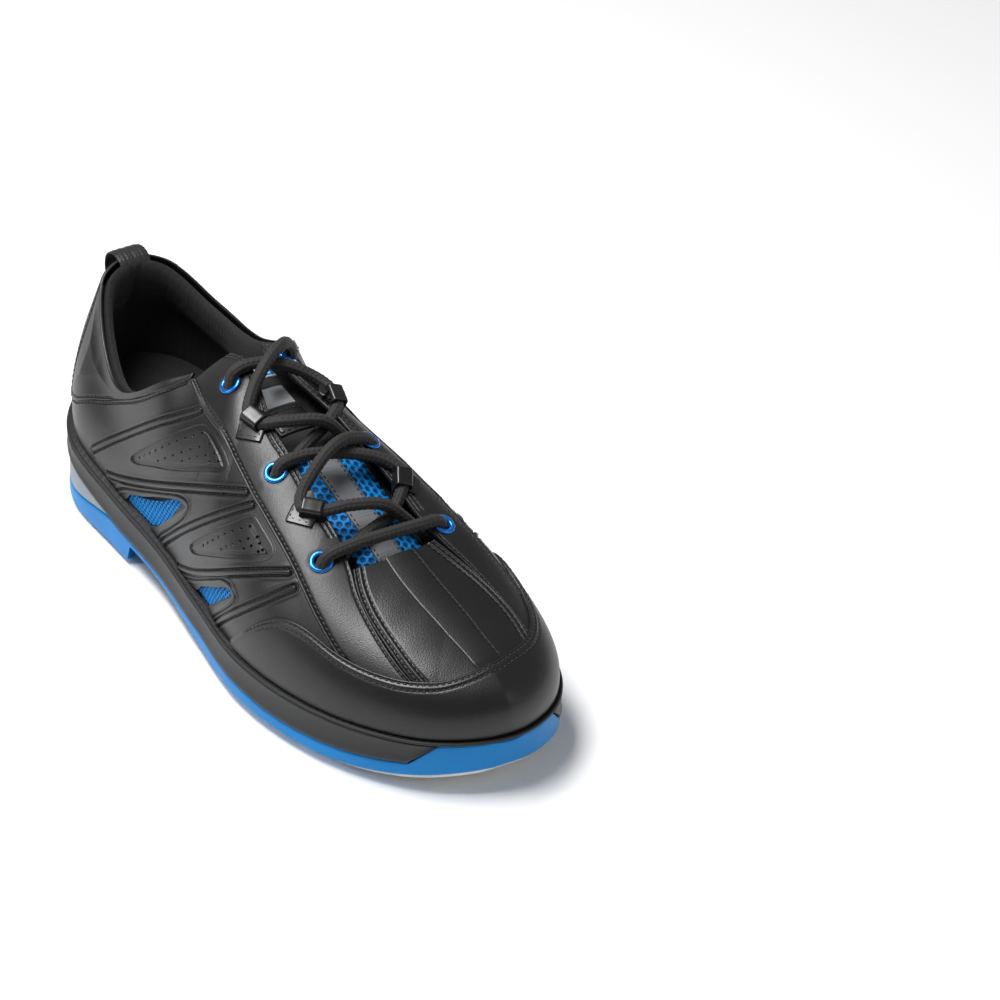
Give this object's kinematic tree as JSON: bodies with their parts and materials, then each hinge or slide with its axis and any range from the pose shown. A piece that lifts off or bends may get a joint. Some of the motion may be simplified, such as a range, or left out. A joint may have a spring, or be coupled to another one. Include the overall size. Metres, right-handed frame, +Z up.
{
  "type": "bowling shoe",
  "caption": "Low lace-up bowling shoe for the right foot: black leather and blue mesh upper on a flat sole with a smooth sliding pad and a tall heel.",
  "frame": {"origin": "on the floor, below the middle of the shoe's length and width", "axes": "+X to the toe, +Y to the inner side of the foot, +Z up"},
  "size_m": [0.3006, 0.112, 0.1138],
  "materials": {
    "sole_blue": "satin moulded",
    "pad_white": "fine split nap, matte",
    "band_rubber": "matte moulded",
    "welt_rubber": "coarse grain, matte",
    "foam_grey": "matte foamed",
    "filler_foam": "matte foamed",
    "shank_steel": "rolled",
    "board": "pressed fibre",
    "insole_cloth": "fine knit",
    "upper_leather": "fine grain, semi-gloss",
    "stay_leather": "smooth, semi-gloss",
    "mesh_blue": "open knit",
    "webbing": "woven",
    "lining_cloth": "air mesh",
    "strip_grey": "film, satin",
    "patch_silver": "reflective film",
    "label_cloth": "woven, fine",
    "eyelet_metal": "anodised gloss",
    "lace_cloth": "herringbone braid",
    "tip_plastic": "gloss"
  },
  "bodies": {
    "shoe": {"outsole": "sole_blue", "slide_pad": "pad_white", "arch_panel_outer": "band_rubber", "arch_panel_centre": "band_rubber", "arch_panel_inner": "band_rubber", "heel_treads": "band_rubber", "heel_wedge": "foam_grey", "foxing_band": "band_rubber", "midsole": "filler_foam", "welt": "welt_rubber", "shank": "shank_steel", "insole_board": "board", "insole": "insole_cloth", "heel_counter": "board", "toe_puff": "board", "toe_bumper": "upper_leather", "vamp_outer": "upper_leather", "vamp_inner": "upper_leather", "vamp_strip": "upper_leather", "eyestay_outer": "stay_leather", "eyestay_inner": "stay_leather", "quarter_outer": "upper_leather", "quarter_inner": "upper_leather", "mesh_rear_outer": "mesh_blue", "mesh_front_outer": "mesh_blue", "mesh_rear_inner": "mesh_blue", "mesh_front_inner": "mesh_blue", "collar_outer": "upper_leather", "collar_inner": "upper_leather", "back_stay": "upper_leather", "pull_tab": "webbing", "collar_lining": "lining_cloth", "collar_foam": "filler_foam", "vamp_lining": "lining_cloth", "lace_loops": "webbing", "eyelets": "eyelet_metal", "lace": "lace_cloth", "aglets": "tip_plastic"},
    "tongue": {"tongue_pad": "lining_cloth", "tongue_mesh_outer": "mesh_blue", "tongue_mesh_inner": "mesh_blue", "tongue_strip": "strip_grey", "tongue_patch": "patch_silver", "tongue_keeper": "stay_leather", "tongue_label": "label_cloth"}
  },
  "joints": [
    {"name": "tongue_hinge", "type": "hinge", "parent": "shoe", "child": "tongue", "pos_m": [0.0857, 0.005, 0.0515], "axis": [0, -1, 0], "range_deg": [0, 12], "stiffness_Nm_per_rad": 0.4}
  ]
}
